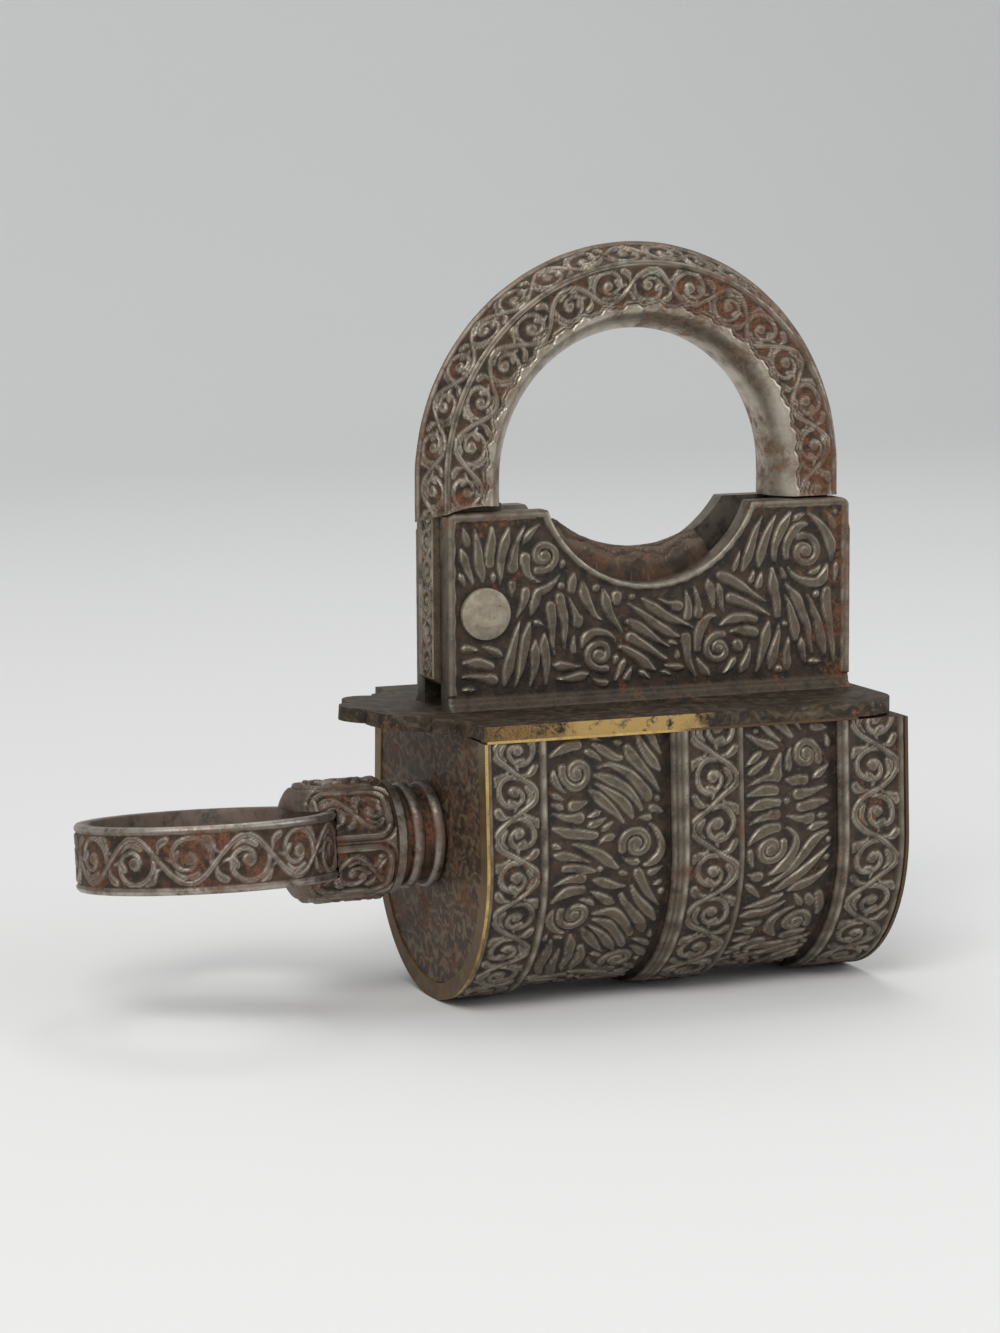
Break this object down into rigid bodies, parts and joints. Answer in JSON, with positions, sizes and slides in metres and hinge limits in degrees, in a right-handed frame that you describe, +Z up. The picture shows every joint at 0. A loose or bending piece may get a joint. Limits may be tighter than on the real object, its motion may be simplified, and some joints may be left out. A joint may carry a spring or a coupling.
{
  "type": "barrel padlock",
  "caption": "Antique steel barrel padlock with a hinged arched shackle between two cheeks, chased bands, brass seams and a screw key with a finger ring.",
  "frame": {"origin": "middle of the inner top of the closed shackle, where the lock hangs from a staple", "axes": "+Z up, +X along the barrel away from the key, -Y the front with the rivet on the left"},
  "size_m": [0.1262, 0.0484, 0.116],
  "materials": {
    "chased_steel": "blackened, with worn grey relief and brown rust",
    "shackle_steel": "worn grey relief over dark ground, rust spots",
    "brown_steel": "brown patina with fine vertical scratches",
    "dark_plate": "dark patina with fine chasing marks",
    "braze_brass": "old brass, dull in the hollows and bright on the edges",
    "rivet_steel": "hammered pale steel with rust specks",
    "key_steel": "worn steel with orange rust",
    "inner_steel": "dull bare steel"
  },
  "bodies": {
    "case": {"barrel_shell": "chased_steel", "key_band": "chased_steel", "middle_band": "chased_steel", "far_band": "chased_steel", "key_end_plate": "brown_steel", "far_end_plate": "brown_steel", "key_rim": "braze_brass", "far_rim": "braze_brass", "cover_plate": "dark_plate", "plate_seams": "braze_brass", "front_cheek": "chased_steel", "back_cheek": "chased_steel", "saddle": "brown_steel", "hinge_rivet": "rivet_steel", "keyhole_bush": "braze_brass", "spring_bulkhead": "inner_steel", "guide_rails": "inner_steel", "pin_guide": "inner_steel", "coil_spring": "inner_steel"},
    "shackle": {"shackle": "shackle_steel"},
    "bolt": {"bolt_web": "inner_steel", "screw_tail": "inner_steel", "locking_pin": "inner_steel", "spring_washer": "inner_steel"},
    "key": {"key_hub": "key_steel", "key_ring": "key_steel"}
  },
  "joints": [
    {"name": "shackle_swing", "type": "hinge", "parent": "case", "child": "shackle", "pos_m": [-0.02695, 0, -0.0425], "axis": [0, -1, 0], "range_deg": [0, 85]},
    {"name": "key_turn", "type": "hinge", "parent": "case", "child": "key", "pos_m": [-0.0334, 0, -0.0769], "axis": [1, 0, 0], "range_deg": [-1080, 0]},
    {"name": "bolt_slide", "type": "slide", "parent": "case", "child": "bolt", "axis": [1, 0, 0], "range_m": [0, 0.0075]}
  ],
  "couplings": [
    {"joint": "bolt_slide", "follows": "key_turn", "m_per_rad": -0.00039789}
  ]
}
